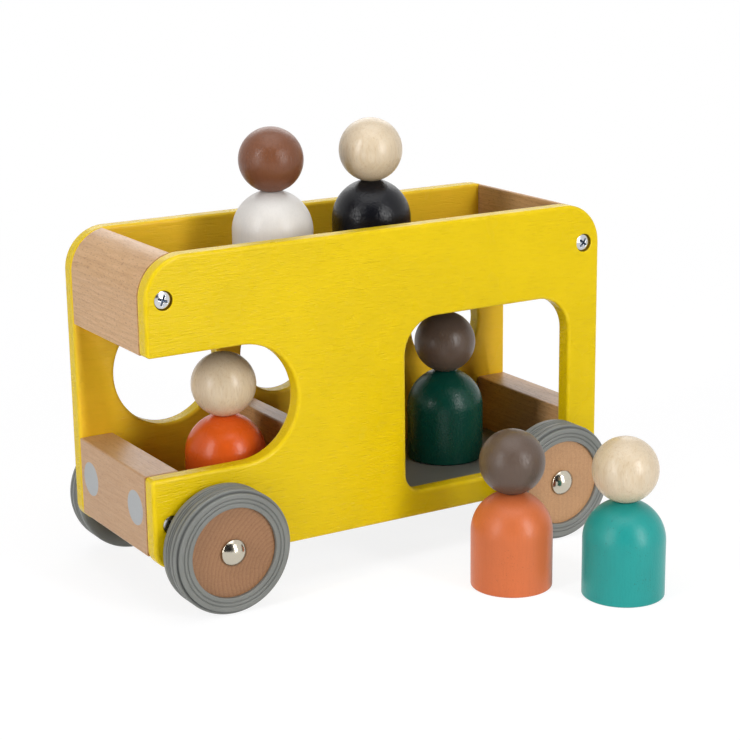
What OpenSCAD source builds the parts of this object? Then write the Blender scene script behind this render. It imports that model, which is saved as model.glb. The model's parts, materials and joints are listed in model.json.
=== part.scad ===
// Wooden double-deck toy bus with six peg figures.
// Millimetres. +X is the front of the bus, +Y its door side, +Z up.
// The origin is on the ground, under the middle of the bus.

/* [Side panels] */
// Length of a side panel, from front to back
panel_l = 260; // [240:1:300]
// Height of a side panel
panel_h = 150.5; // [140:0.5:170]
// Thickness of a side panel
panel_t = 9; // [7:0.5:12]
// Clear width between the two panels
inner_w = 76; // [64:1:100]
// Radius of a panel's upper corners
upper_corner_r = 21; // [12:1:24]
// Radius of a panel's lower corners
lower_corner_r = 9; // [5:0.5:12]
// Radius that the panels' edges are rounded over to
edge_r = 1.5; // [0.6:0.1:2.5]

/* [Windows and door] */
// Height of the windows' centre line above the panels' lower edge
window_line = 74; // [68:0.1:80]
// Radius of the two cab windows
cab_window_r = 29.3; // [26:0.1:33]
// Distance of the cab windows' centre from the front edge
cab_window_in = 49.5; // [46:0.5:52]
// Radius of a passenger window
window_r = 22.1; // [17:0.1:23]
// Width of the web between two passenger windows
window_web = 8.7; // [6:0.1:10]
// Width of the web behind the last passenger window
window_rear_web = 17.6; // [12:0.1:20]
// Width of the strip of panel between the rear blocks and the door
door_strip = 0.9; // [0.5:0.1:5]
// Width of the door
door_w = 100.9; // [80:0.1:110]
// Height of the door's sill above the panel's lower edge
door_sill = 13.2; // [12:0.1:18]
// Radius of the door's upper corners
door_upper_r = 19; // [10:0.5:25]
// Radius of the door's lower corners
door_lower_r = 10; // [5:0.5:15]

/* [Cross blocks] */
// Depth of the four blocks that join the panels
block_d = 18; // [15:0.5:22]
// Height of the lower blocks' underside above the panels' lower edge
block_up = 4.8; // [3:0.1:8]
// Height of the rear lower block's top above the panels' lower edge
rear_block_top = 40.5; // [34:0.5:45]
// Distance of the divider's front face from the front edge
divider_in = 86; // [80:0.5:95]
// Thickness of the divider behind the driver
divider_t = 10.5; // [8:0.5:14]
// Height of the divider's top above the panels' lower edge
divider_top = 52; // [42:0.5:60]
// Width of the bevel along the blocks' edges
block_bevel = 0.8; // [0.4:0.1:1.5]

/* [Decks] */
// Thickness of both decks
deck_t = 9; // [8:0.5:11]
// Height of the lower deck's floor above the panels' lower edge
lower_deck_top = 12; // [11.5:0.1:13]
// Height of the upper deck's floor above the panels' lower edge
upper_deck_top = 118.5; // [114:0.5:124]

/* [Wheels] */
// Outer radius of a tyre
tyre_r = 30.9; // [27:0.1:34]
// Width of a tyre
tyre_w = 15.1; // [12:0.1:18]
// Gap between a panel and a tyre
tyre_gap = 1.9; // [1:0.1:3]
// Thickness of the rubber between the disc and the tread
tyre_wall = 5.3; // [4:0.1:7]
// Height of the tyre's lips, which hold the disc
lip_h = 3.3; // [2:0.1:5]
// Depth of the disc's face below the tyre's outer side
disc_recess = 2; // [1:0.1:3]
// Thickness of the tyre's lip behind the disc
back_lip = 1.2; // [0.8:0.1:2]
// Radius of the round grooves in a tyre's tread
tread_groove_r = 0.6; // [0.4:0.1:0.7]
// Radius of the round grooves in a tyre's outer side
side_groove_r = 0.4; // [0.3:0.1:0.8]
// Height of the step from a tyre's outer side up to its tread
step_h = 1.7; // [1.3:0.1:2.5]
// Depth of that step below the outer side
step_d = 2; // [1:0.1:2.5]
// Width of the bevel on a tyre's inner shoulder
shoulder = 1.1; // [0.5:0.1:2]
// Width of the bevels on the step
step_bevel = 0.6; // [0.3:0.1:0.8]
// Distance of the axles from the ends of the panels
wheel_in = 33.5; // [31:0.5:38]
// Height of the axles above the panels' lower edge
axle_up = 7.8; // [7:0.1:8]
// Radius of an axle
axle_r = 2.5; // [2:0.1:2.8]
// Radius of a domed axle cap
cap_r = 6.6; // [5:0.1:8]
// Height of a cap's dome
cap_dome = 3; // [2:0.1:4]
// Height of a cap's straight rim
cap_rim = 0.9; // [0.5:0.1:1.5]
// Radius of the spacer washer behind a wheel
washer_r = 7; // [5:0.5:10]

/* [Screws] */
// Distance of the screws from the ends of the panels
screw_in = 9.6; // [8:0.1:11]
// Height of the lower screws above the panels' lower edge
lower_screw_up = 21.5; // [18:0.5:24]
// Radius of a screw's head
screw_head_r = 4.2; // [3:0.1:4.5]
// Height of a screw's head
screw_head_h = 2.4; // [1.5:0.1:3]
// Depth of a screw's head below the panel's face
screw_sink = 1; // [0.5:0.1:2]
// Radius of a screw's shank
shank_r = 2; // [1.5:0.1:2.5]
// Length of a screw under its head
shank_l = 32; // [24:1:36]

/* [Figures] */
// Radius of a figure's body
figure_r = 20.2; // [16:0.1:22]
// Height of the straight part of a figure's body
figure_straight = 27.9; // [22:0.1:32]
// Radius of a figure's head
head_r = 16.2; // [13:0.1:18]
// Radius of the flat where head and body meet
neck_r = 4.6; // [4:0.1:7]
// Radius of the peg that joins head and body
peg_r = 3; // [2:0.1:3.5]
// Length of that peg
peg_l = 20; // [12:0.5:24]
// Width of the bevel round a figure's foot
foot_bevel = 0.8; // [0.4:0.1:1.5]
// Distance of the nearer visitor's axis from the rear end
near_visitor_rear = 93.7; // [85:0.1:110]
// Distance of the nearer visitor's axis from the door panel
near_visitor_out = 54.9; // [50:0.1:70]
// Distance of the farther visitor's axis from the rear end
far_visitor_rear = 55.6; // [40:0.1:60]
// Distance of the farther visitor's axis from the door panel
far_visitor_out = 94.9; // [90:0.1:120]

/* [Hidden] */
$fn = 96;
// How far a cut runs past the face that it opens
overrun = 1;
// Clearance of a loose or turning piece from its seat
run_gap = 0.3;
// Radial clearance of a wheel on its axle
axle_clear = 0.06;
// Radial clearance of pieces that are pressed or glued together
glue_clear = 0.02;
// Gap round a screw's head in its counterbore
head_clear = 0.5;
// Cross recess of a screw: length, width and depth
cross_l = 5;
cross_w = 1.1;
cross_d = 1.2;
// Grooves in a tyre, as shares of its side's height and of its width
side_groove_shares = [0.35, 0.62];
tread_groove_shares = [0.27, 0.4, 0.5, 0.71];
// Places of the figures, as shares of the room that they can move in
driver_back_share = 0.675;
driver_side_share = 0.61;
passenger_back_share = 0.741;
deck_front_share = 0.378;
deck_between_share = 0.119;
// Height of the upper screws, as a share of the top blocks' height
upper_screw_share = 0.565;
// How deep an axle reaches into its cap, as a share of the cap's height
cap_grip_share = 0.66;

panel_z = tyre_r - axle_up;
half_l = panel_l / 2;
outer_w = inner_w + 2 * panel_t;
cab_top = window_line + cab_window_r;
cab_bottom = window_line - cab_window_r;
cab_x = half_l - cab_window_in;
window_pitch = 2 * window_r + window_web;
window_room = panel_l - cab_window_in - cab_window_r - window_web - window_rear_web;
window_count = floor((window_room + window_web) / window_pitch);
upper_screw_up = cab_top + upper_screw_share * (panel_h - cab_top);
door_rear_x = block_d + door_strip - half_l;
wheel_x = half_l - wheel_in;
disc_r = tyre_r - tyre_wall;
lip_r = disc_r - lip_h;
disc_back = tyre_gap + back_lip;
disc_face = tyre_gap + tyre_w - disc_recess;
cap_foot = disc_face + run_gap;
cap_h = cap_rim + cap_dome;
cap_sphere_r = (cap_r * cap_r + cap_dome * cap_dome) / (2 * cap_dome);
axle_half = outer_w / 2 + cap_foot + cap_grip_share * cap_h;
screw_hole_r = screw_head_r + head_clear;
screw_hole_d = screw_sink + screw_head_h;
neck_z = figure_straight + sqrt(figure_r * figure_r - neck_r * neck_r);
head_z = neck_z + sqrt(head_r * head_r - neck_r * neck_r);
peg_hole_d = peg_l / 2 + run_gap;

cab_room = divider_in - block_d - 2 * figure_r;
cabin_room = panel_l - block_d - divider_in - divider_t - 2 * figure_r;
deck_room = panel_l - 2 * block_d - 4 * figure_r;
driver_x = half_l - block_d - figure_r - driver_back_share * cab_room;
driver_y = driver_side_share * (inner_w / 2 - figure_r);
passenger_x = half_l - divider_in - divider_t - figure_r - passenger_back_share * cabin_room;
deck_front_x = half_l - block_d - figure_r - deck_front_share * deck_room;
deck_rear_x = deck_front_x - 2 * figure_r - deck_between_share * deck_room;
lower_floor = panel_z + lower_deck_top + run_gap;
upper_floor = panel_z + upper_deck_top + run_gap;

YELLOW = [0.92, 0.79, 0.09];
BEECH = [0.80, 0.65, 0.50];
GREY = [0.42, 0.42, 0.40];
STEEL = [0.75, 0.75, 0.76];
RUBBER = [0.50, 0.51, 0.49];
NYLON = [0.86, 0.86, 0.84];
MAPLE = [0.88, 0.80, 0.66];
BROWN = [0.45, 0.28, 0.19];
UMBER = [0.30, 0.24, 0.21];

// Name, front or rear end, door side or far side
WHEELS = [
    ["front_left", 1, 1],
    ["front_right", 1, -1],
    ["rear_left", -1, 1],
    ["rear_right", -1, -1],
];
WHEEL_PIECES = ["tyre", "wheel_disc", "axle_cap", "spacer_washer"];

// Name, place of the foot, colour of the body, colour of the head
FIGURES = [
    ["driver", [driver_x, driver_y, lower_floor], [0.88, 0.32, 0.10], MAPLE],
    ["passenger", [passenger_x, 0, lower_floor], [0.05, 0.25, 0.20], UMBER],
    ["deck_front", [deck_front_x, 0, upper_floor], [0.92, 0.91, 0.89], BROWN],
    ["deck_rear", [deck_rear_x, 0, upper_floor], [0.10, 0.11, 0.13], MAPLE],
    ["near_visitor", [near_visitor_rear - half_l, outer_w / 2 + near_visitor_out, 0],
        [0.87, 0.43, 0.24], UMBER],
    ["far_visitor", [far_visitor_rear - half_l, outer_w / 2 + far_visitor_out, 0],
        [0.16, 0.61, 0.56], MAPLE],
];
FIGURE_PIECES = ["body", "head", "peg"];

// Waste outside a round corner. sx and sy point from the corner into the sheet.
module corner_waste(sx, sy, r) {
    difference() {
        translate([sx > 0 ? -overrun : -r, sy > 0 ? -overrun : -r]) square(r + overrun);
        translate([sx * r, sy * r]) circle(r);
    }
}

// Rectangle with round corners of one radius below and another above
module round_rect(lo, hi, r_lo, r_hi) {
    difference() {
        translate(lo) square(hi - lo);
        translate(lo) corner_waste(1, 1, r_lo);
        translate([hi.x, lo.y]) corner_waste(-1, 1, r_lo);
        translate([lo.x, hi.y]) corner_waste(1, -1, r_hi);
        translate(hi) corner_waste(-1, -1, r_hi);
    }
}

// Cross-section of what rounding over an edge takes away: +X is off the sheet, +Y above its face
module edge_waste() {
    translate([-edge_r, -edge_r]) difference() {
        square(edge_r + overrun);
        circle(edge_r);
    }
}

// Rounding-over along a straight edge from a to b, with the sheet on the left of that way
module edge_run(a, b) {
    way = b - a;
    translate([b.x, b.y, 0]) rotate([0, 0, atan2(way.y, way.x)]) rotate([90, 0, -90])
        linear_extrude(norm(way)) edge_waste();
}

// Rounding-over along an arc about c, round a corner of the sheet or inside a hole
module edge_turn(c, r, from, sweep, hole) {
    translate([c.x, c.y, 0]) rotate([0, 0, from]) rotate_extrude(angle = sweep)
        translate([r, 0]) mirror([hole ? 1 : 0, 0]) edge_waste();
}

// Rounding-over along the outline of a round_rect
module round_rect_edges(lo, hi, r_lo, r_hi, hole) {
    runs = [
        [[lo.x + r_lo, lo.y], [hi.x - r_lo, lo.y]],
        [[hi.x, lo.y + r_lo], [hi.x, hi.y - r_hi]],
        [[hi.x - r_hi, hi.y], [lo.x + r_hi, hi.y]],
        [[lo.x, hi.y - r_hi], [lo.x, lo.y + r_lo]],
    ];
    for (run = runs) edge_run(run[hole ? 1 : 0], run[hole ? 0 : 1]);
    edge_turn([lo.x + r_lo, lo.y + r_lo], r_lo, 180, 90, hole);
    edge_turn([hi.x - r_lo, lo.y + r_lo], r_lo, 270, 90, hole);
    edge_turn([hi.x - r_hi, hi.y - r_hi], r_hi, 0, 90, hole);
    edge_turn([lo.x + r_hi, hi.y - r_hi], r_hi, 90, 90, hole);
}

// Both faces of a sheet of the panels' thickness
module both_faces() {
    translate([0, 0, panel_t]) children();
    mirror([0, 0, 1]) children();
}

// Stands a flat sheet up as a panel, its inner face at the clear width: side 1 is the door side
module on_side(side) {
    mirror([0, side > 0 ? 1 : 0, 0]) translate([0, -inner_w / 2, panel_z]) rotate([90, 0, 0])
        children();
}

module panel_outline() {
    round_rect([-half_l, 0], [half_l, panel_h], lower_corner_r, upper_corner_r);
}

// Sheet with the round-cornered outline, its openings given as flat children
module panel_sheet() {
    linear_extrude(panel_t) difference() {
        panel_outline();
        children();
    }
}

module panel_edges() {
    round_rect_edges([-half_l, 0], [half_l, panel_h], lower_corner_r, upper_corner_r, false);
}

// Places of the four screws of a panel, on the flat sheet
module each_screw() {
    for (end = [-1, 1]) for (up = [lower_screw_up, upper_screw_up])
        translate([end * (half_l - screw_in), up, 0]) children();
}

// Axle holes and counterbored screw holes of a panel
module panel_bores() {
    for (end = [-1, 1]) translate([end * wheel_x, axle_up, -overrun])
        cylinder(r = axle_r + glue_clear, h = panel_t + 2 * overrun);
    each_screw() {
        translate([0, 0, -overrun]) cylinder(r = shank_r + glue_clear, h = panel_t + overrun);
        translate([0, 0, panel_t - screw_hole_d]) cylinder(r = screw_hole_r, h = screw_hole_d + overrun);
    }
}

// Door side: a cab window that is open to the front, and the door
module left_panel() {
    door_lo = [door_rear_x, door_sill];
    door_hi = [door_rear_x + door_w, cab_top];
    color(YELLOW) on_side(1) difference() {
        panel_sheet() {
            translate([cab_x, window_line]) circle(cab_window_r);
            translate([cab_x, cab_bottom]) square([cab_window_in + overrun, 2 * cab_window_r]);
            round_rect(door_lo, door_hi, door_lower_r, door_upper_r);
        }
        both_faces() {
            panel_edges();
            edge_run([cab_x, cab_top], [half_l + overrun, cab_top]);
            edge_run([half_l + overrun, cab_bottom], [cab_x, cab_bottom]);
            edge_turn([cab_x, window_line], cab_window_r, 90, 180, true);
            round_rect_edges(door_lo, door_hi, door_lower_r, door_upper_r, true);
        }
        panel_bores();
    }
}

// Far side: a round cab window and a row of round passenger windows
module right_panel() {
    last_x = window_rear_web + window_r - half_l;
    holes = concat(
        [[cab_x, cab_window_r]],
        [for (i = [0 : window_count - 1]) [last_x + i * window_pitch, window_r]]
    );
    color(YELLOW) on_side(-1) difference() {
        panel_sheet()
            for (hole = holes) translate([hole.x, window_line]) circle(hole.y);
        both_faces() {
            panel_edges();
            for (hole = holes) edge_turn([hole.x, window_line], hole.y, 0, 360, true);
        }
        panel_bores();
    }
}

// Carries a flat outline across the bus, between the panels
module across() {
    translate([0, 0, panel_z]) rotate([90, 0, 0]) linear_extrude(inner_w, center = true) children();
}

// Board outline with bevelled edges
module bevelled(lo, hi) {
    e = block_bevel;
    polygon([
        [lo.x + e, lo.y], [hi.x - e, lo.y], [hi.x, lo.y + e], [hi.x, hi.y - e],
        [hi.x - e, hi.y], [lo.x + e, hi.y], [lo.x, hi.y - e], [lo.x, lo.y + e],
    ]);
}

// Pilot holes of the screws that reach into the blocks
module pilot_holes() {
    for (side = [-1, 1]) on_side(side) each_screw()
        translate([0, 0, panel_t - screw_hole_d - shank_l - run_gap])
            cylinder(r = shank_r + glue_clear, h = shank_l + run_gap);
}

// Block between the panels' upper corners, rounded as they are
module top_block(x) {
    color(BEECH) difference() {
        across() intersection() {
            bevelled([x, cab_top], [x + block_d, panel_h]);
            panel_outline();
        }
        pilot_holes();
    }
}

module low_block(x, top) {
    color(BEECH) difference() {
        across() bevelled([x, block_up], [x + block_d, top]);
        pilot_holes();
    }
}

module front_top_block() {
    top_block(half_l - block_d);
}

module rear_top_block() {
    top_block(-half_l);
}

module front_bumper() {
    low_block(half_l - block_d, cab_bottom);
}

module rear_block() {
    low_block(-half_l, rear_block_top);
}

module cab_divider() {
    x = half_l - divider_in - divider_t;
    color(BEECH) across() bevelled([x, lower_deck_top], [x + divider_t, divider_top]);
}

// Floor of the lower deck, grooved from below for the axles
module lower_deck() {
    groove_half = axle_r + run_gap;
    color(GREY) across() difference() {
        translate([block_d - half_l, lower_deck_top - deck_t])
            square([panel_l - 2 * block_d, deck_t]);
        for (end = [-1, 1]) translate([end * wheel_x, axle_up]) {
            circle(groove_half);
            translate([-groove_half, -deck_t]) square([2 * groove_half, deck_t]);
        }
    }
}

module upper_deck() {
    color(GREY) across() translate([block_d - half_l, upper_deck_top - deck_t])
        square([panel_l - 2 * block_d, deck_t]);
}

module axle(end) {
    color(STEEL) translate([end * wheel_x, 0, tyre_r]) rotate([90, 0, 0])
        cylinder(r = axle_r, h = 2 * axle_half, center = true);
}

module front_axle() {
    axle(1);
}

module rear_axle() {
    axle(-1);
}

// Cross-head screw, its head's top at the origin
module screw() {
    difference() {
        union() {
            translate([0, 0, -screw_head_h]) cylinder(r = screw_head_r, h = screw_head_h);
            translate([0, 0, -screw_head_h - shank_l]) cylinder(r = shank_r, h = shank_l + screw_head_h);
        }
        for (turn = [0, 90]) rotate([0, 0, turn]) translate([-cross_l / 2, -cross_w / 2, -cross_d])
            cube([cross_l, cross_w, cross_d + overrun]);
    }
}

module panel_screws(side) {
    color(STEEL) on_side(side) each_screw() translate([0, 0, panel_t - screw_sink]) screw();
}

module left_screws() {
    panel_screws(1);
}

module right_screws() {
    panel_screws(-1);
}

// Places a turned wheel piece: its origin on the panel's outer face, +Z away from the bus
module at_wheel(w) {
    translate([w[1] * wheel_x, w[2] * outer_w / 2, tyre_r]) rotate([-90 * w[2], 0, 0]) children();
}

// Rubber tyre with a stepped side and round grooves, hooked over both faces of the disc
module tyre(w) {
    side_r = tyre_r - step_h;
    step_z = tyre_w - step_d;
    color(RUBBER) at_wheel(w) translate([0, 0, tyre_gap]) rotate_extrude() difference() {
        polygon([
            [lip_r, 0], [tyre_r - shoulder, 0], [tyre_r, shoulder],
            [tyre_r, step_z - step_bevel], [tyre_r - step_bevel, step_z], [side_r, step_z],
            [side_r, tyre_w - step_bevel], [side_r - step_bevel, tyre_w], [lip_r, tyre_w],
        ]);
        translate([lip_r - overrun, back_lip])
            square([disc_r + glue_clear - lip_r + overrun, tyre_w - back_lip - disc_recess]);
        for (share = side_groove_shares)
            translate([lip_r + share * (side_r - lip_r), tyre_w]) circle(side_groove_r);
        for (share = tread_groove_shares) translate([tyre_r, share * tyre_w]) circle(tread_groove_r);
    }
}

module wheel_disc(w) {
    color(BEECH) at_wheel(w) translate([0, 0, disc_back]) difference() {
        cylinder(r = disc_r, h = disc_face - disc_back);
        translate([0, 0, -overrun]) cylinder(r = axle_r + axle_clear, h = tyre_w);
    }
}

// Domed cap pressed on the end of an axle
module axle_cap(w) {
    color(STEEL) at_wheel(w) translate([0, 0, cap_foot]) rotate_extrude() difference() {
        intersection() {
            square([cap_r, cap_h]);
            translate([0, cap_h - cap_sphere_r]) circle(cap_sphere_r);
        }
        translate([0, -overrun]) square([axle_r + glue_clear, cap_grip_share * cap_h + overrun]);
    }
}

module spacer_washer(w) {
    color(NYLON) at_wheel(w) difference() {
        cylinder(r = washer_r, h = disc_back - run_gap);
        translate([0, 0, -overrun]) cylinder(r = axle_r + glue_clear, h = tyre_w);
    }
}

// Body of a figure: a straight foot under a round dome with a small flat for the head
module figure_body(f) {
    color(f[2]) translate(f[1]) rotate_extrude() difference() {
        intersection() {
            union() {
                square([figure_r, figure_straight]);
                translate([0, figure_straight]) circle(figure_r);
            }
            square([figure_r, neck_z]);
        }
        polygon([
            [figure_r - foot_bevel - overrun, -overrun], [figure_r + overrun, -overrun],
            [figure_r + overrun, foot_bevel + overrun],
        ]);
        translate([0, neck_z - peg_hole_d]) square([peg_r + glue_clear, peg_hole_d + overrun]);
    }
}

// Head of a figure: a ball with a small flat below
module figure_head(f) {
    color(f[3]) translate(f[1]) rotate_extrude() difference() {
        intersection() {
            translate([0, head_z]) circle(head_r);
            translate([0, neck_z]) square([head_r, 2 * head_r]);
        }
        translate([0, neck_z - overrun]) square([peg_r + glue_clear, peg_hole_d + overrun]);
    }
}

module figure_peg(f) {
    color(BEECH) translate(f[1]) translate([0, 0, neck_z - peg_l / 2]) cylinder(r = peg_r, h = peg_l);
}

left_panel();
right_panel();
front_top_block();
rear_top_block();
front_bumper();
rear_block();
cab_divider();
lower_deck();
upper_deck();
front_axle();
rear_axle();
left_screws();
right_screws();
for (w = WHEELS) {
    tyre(w);
    wheel_disc(w);
    axle_cap(w);
    spacer_washer(w);
}
for (f = FIGURES) {
    figure_body(f);
    figure_head(f);
    figure_peg(f);
}
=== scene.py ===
# %% [markdown]
# # A wooden toy bus and its peg figures
# The construction is already made: boards, blocks, wheels and figures stand at their real size in one
# frame. This lesson gives them their looks. They could be modelled by hand in the viewport, but a script
# can be read, run again and changed in one place. So each piece is worked out as a surface with numpy, put
# where its solid is, and finished with a material that is made of nodes only.

# %% Load the frame
import json

import bmesh
import bpy
import numpy as np
from mathutils import Matrix, Vector

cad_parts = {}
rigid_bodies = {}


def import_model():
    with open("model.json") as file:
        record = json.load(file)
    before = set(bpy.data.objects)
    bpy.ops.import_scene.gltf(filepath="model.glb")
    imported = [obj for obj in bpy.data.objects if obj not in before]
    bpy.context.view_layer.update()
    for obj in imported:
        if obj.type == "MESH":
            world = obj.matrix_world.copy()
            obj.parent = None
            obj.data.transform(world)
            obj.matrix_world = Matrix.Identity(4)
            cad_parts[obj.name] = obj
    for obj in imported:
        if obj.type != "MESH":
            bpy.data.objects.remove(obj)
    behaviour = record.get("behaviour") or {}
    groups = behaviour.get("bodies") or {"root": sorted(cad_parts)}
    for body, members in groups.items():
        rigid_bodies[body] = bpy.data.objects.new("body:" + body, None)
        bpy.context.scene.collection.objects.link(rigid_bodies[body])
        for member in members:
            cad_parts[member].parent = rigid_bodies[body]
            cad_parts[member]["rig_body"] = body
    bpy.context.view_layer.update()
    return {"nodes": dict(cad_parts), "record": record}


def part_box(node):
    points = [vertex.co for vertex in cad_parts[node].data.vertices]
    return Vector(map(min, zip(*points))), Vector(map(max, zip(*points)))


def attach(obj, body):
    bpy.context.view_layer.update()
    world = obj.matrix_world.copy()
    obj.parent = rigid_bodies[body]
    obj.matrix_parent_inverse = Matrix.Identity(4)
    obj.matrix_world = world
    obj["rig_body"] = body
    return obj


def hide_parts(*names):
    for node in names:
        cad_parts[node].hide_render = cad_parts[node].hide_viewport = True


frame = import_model()
MM = 0.001

# %% [markdown]
# ## Camera
# The picture was taken from the front left corner with a long lens, a little above the roof. A camera can
# be aimed by eye or with a Track To constraint. Here the yaw, the pitch and a slight roll were found from
# the edges of the side panels, so the camera's axes are worked out from these angles. A camera matrix holds
# those three axes and a place.

# %% Camera
PHOTO_PX, FOCAL_PX, SENSOR_MM = 740, 1935.6, 36
CAMERA_AT = np.array([487.14, 835.34, 348.07]) * MM
CAMERA_YAW, CAMERA_PITCH, CAMERA_ROLL = np.radians([238.848, -14.833, 0.729])


def camera_axes(yaw, pitch, roll):
    """Right, up and backward axes: forward is (cos p cos y, cos p sin y, sin p), and the roll turns the
    other two."""
    level = np.cos(pitch)
    forward = np.array([level * np.cos(yaw), level * np.sin(yaw), np.sin(pitch)])
    right = np.array([np.sin(yaw), -np.cos(yaw), 0])
    up = np.cross(right, forward)
    c, s = np.cos(roll), np.sin(roll)
    return c * right - s * up, c * up + s * right, -forward


camera_data = bpy.data.cameras.new("photo_camera")
camera_data.sensor_width = SENSOR_MM
camera_data.lens = SENSOR_MM * FOCAL_PX / PHOTO_PX
camera = bpy.data.objects.new("photo_camera", camera_data)
turn = Matrix(np.column_stack(camera_axes(CAMERA_YAW, CAMERA_PITCH, CAMERA_ROLL)).tolist())
camera.matrix_world = Matrix.Translation(CAMERA_AT.tolist()) @ turn.to_4x4()
scene = bpy.context.scene
scene.collection.objects.link(camera)
scene.camera = camera
print(f"lens {camera_data.lens:.1f} mm")

# %% [markdown]
# ## Light
# The object stood in a white tent: a broad box overhead, one behind, and a tall narrow box on either side
# of the camera, which the round heads show as two upright streaks. A world alone would light it as softly,
# but without the streaks. Area lamps can be placed, sized and dimmed one by one. Standard view keeps
# colours as they are written.

# %% Lamps
scene.view_settings.view_transform = "Standard"
TARGET = Vector((0, 30 * MM, 90 * MM))
CAMERA_ROUND = np.degrees(np.arctan2(CAMERA_AT[1], CAMERA_AT[0]))
WORLD_FILL = 0.04
LAMPS = {
    "overhead_box": dict(turn_deg=0, up_deg=80, distance=1.6, width=1.5, height=1.5, power=13),
    "left_strip": dict(turn_deg=-47, up_deg=19, distance=1.6, width=0.22, height=1.2, power=12.4),
    "right_strip": dict(turn_deg=45, up_deg=17, distance=1.6, width=0.3, height=1.1, power=14.3),
    "back_box": dict(turn_deg=180, up_deg=34, distance=1.8, width=1.6, height=1.0, power=9.5),
}


def softbox(name, turn_deg, up_deg, distance, width, height, power):
    """Rectangular lamp on a sphere about the target, which it faces: turn_deg round from the camera, up_deg
    up."""
    a, e = np.radians([CAMERA_ROUND + turn_deg, up_deg])
    lamp = bpy.data.lights.new(name, "AREA")
    lamp.shape = "RECTANGLE"
    lamp.size, lamp.size_y, lamp.energy = width, height, power
    place = TARGET + distance * Vector((np.cos(e) * np.cos(a), np.cos(e) * np.sin(a), np.sin(e)))
    lamp_object = bpy.data.objects.new(name, lamp)
    facing = (TARGET - place).to_track_quat("-Z", "Y").to_matrix().to_4x4()
    lamp_object.matrix_world = Matrix.Translation(place) @ facing
    scene.collection.objects.link(lamp_object)


for name, values in LAMPS.items():
    softbox(name, **values)
print(len(LAMPS), "lamps")

# %% [markdown]
# A material is a tree of nodes. It can be wired in the shader editor, or in a script, where it takes
# several lines for each node. These helpers make a node, set or link its inputs, and give back the socket
# that comes next, so that a node is one call.

# %% Node helpers
def add(tree, kind, ins=None, **settings):
    """One node with its settings. ins gives an input, by name or number, a value or another node's socket."""
    made = tree.nodes.new(kind)
    for key, value in settings.items():
        setattr(made, key, value)
    for key, value in (ins or {}).items():
        if isinstance(value, bpy.types.NodeSocket):
            tree.links.new(value, made.inputs[key])
        else:
            made.inputs[key].default_value = value
    return made


def calc(tree, operation, *values):
    """Math node: its values in order."""
    return add(tree, "ShaderNodeMath", dict(enumerate(values)), operation=operation).outputs[0]


def remap(tree, value, lo, hi, to_lo=0.0, to_hi=1.0):
    """Straight map of lo..hi to to_lo..to_hi, held at both ends."""
    ins = {"Value": value, "From Min": lo, "From Max": hi, "To Min": to_lo, "To Max": to_hi}
    return add(tree, "ShaderNodeMapRange", ins, clamp=True).outputs[0]


def noise(tree, vector, scale, detail=2.0, roughness=0.5):
    """Noise value from 0 to 1, scale cells to a unit."""
    ins = {"Vector": vector, "Scale": scale, "Detail": detail, "Roughness": roughness}
    return add(tree, "ShaderNodeTexNoise", ins).outputs["Fac"]


def stretch(tree, vector, scale):
    """Vector times a scale for each axis."""
    return add(tree, "ShaderNodeVectorMath", {0: vector, 1: scale}, operation="MULTIPLY").outputs[0]


MIX_SHARE, MIX_UNDER, MIX_OVER, MIXED_COLOUR = 0, 6, 7, 2


def tint(tree, amount, under, over):
    """Colour mixed from under to over by amount."""
    ins = {MIX_SHARE: amount, MIX_UNDER: under, MIX_OVER: over}
    return add(tree, "ShaderNodeMix", ins, data_type="RGBA").outputs[MIXED_COLOUR]


print("node helpers ready")

# %% [markdown]
# Colours are written as a screen shows them, from 0 to 255, and turned into the linear light that shaders
# work in. An effect that several finishes share is a node group with named sockets.

# %% Colours and groups
def srgb(*values):
    """Linear colour with alpha from the 0..255 values that a screen shows."""
    shown = np.array(values) / 255
    linear = np.where(shown <= 0.04045, shown / 12.92, ((shown + 0.055) / 1.055) ** 2.4)
    return (*linear.tolist(), 1.0)


FLOAT, VECTOR = "NodeSocketFloat", "NodeSocketVector"


def group(name, ins, outs):
    """Empty node group with named sockets: the tree, what comes in and what goes out."""
    tree = bpy.data.node_groups.new(name, "ShaderNodeTree")
    for socket, kind, value in ins:
        made = tree.interface.new_socket(socket, in_out="INPUT", socket_type=kind)
        if value is not None:
            made.default_value = value
    for socket in outs:
        tree.interface.new_socket(socket, in_out="OUTPUT", socket_type=FLOAT)
    return tree, tree.nodes.new("NodeGroupInput").outputs, tree.nodes.new("NodeGroupOutput").inputs


def place_group(tree, shared, ins):
    """A shared node group, placed in a material with its own values."""
    return add(tree, "ShaderNodeGroup", ins, node_tree=shared).outputs


print("group helpers ready")

# %% [markdown]
# The world fills the shadows. A plain grey would do that, but the background would be grey too. So rays
# from the camera, and rays that a glossy surface sends on, see plain white instead, and the background is
# white without more light on the object.

# %% World
world = bpy.data.worlds.new("white_tent")
scene.world = world
world.use_nodes = True
sky = world.node_tree
sky.nodes.clear()


def seen_white(tree):
    """1 for a ray from the camera, a mirror or a glass, and 0 for the rays that light the object."""
    path = add(tree, "ShaderNodeLightPath").outputs
    mirror_or_glass = calc(tree, "MAXIMUM", path["Is Glossy Ray"], path["Is Transmission Ray"])
    return calc(tree, "MAXIMUM", path["Is Camera Ray"], mirror_or_glass)


strength = remap(sky, seen_white(sky), 0.0, 1.0, WORLD_FILL, 1.0)
backdrop = add(sky, "ShaderNodeBackground", {"Color": (1, 1, 1, 1), "Strength": strength})
add(sky, "ShaderNodeOutputWorld", {"Surface": backdrop.outputs[0]})
print(f"world fill {WORLD_FILL}")

# %% [markdown]
# Every new surface here is a grid of points, even the floor. Blender's own primitives would do for a disc,
# but not for what follows. These tools lay out a disc, join the points of any grid with quads, and put both
# into a mesh.

# %% Meshes from grids
WELD = 1e-7


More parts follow.
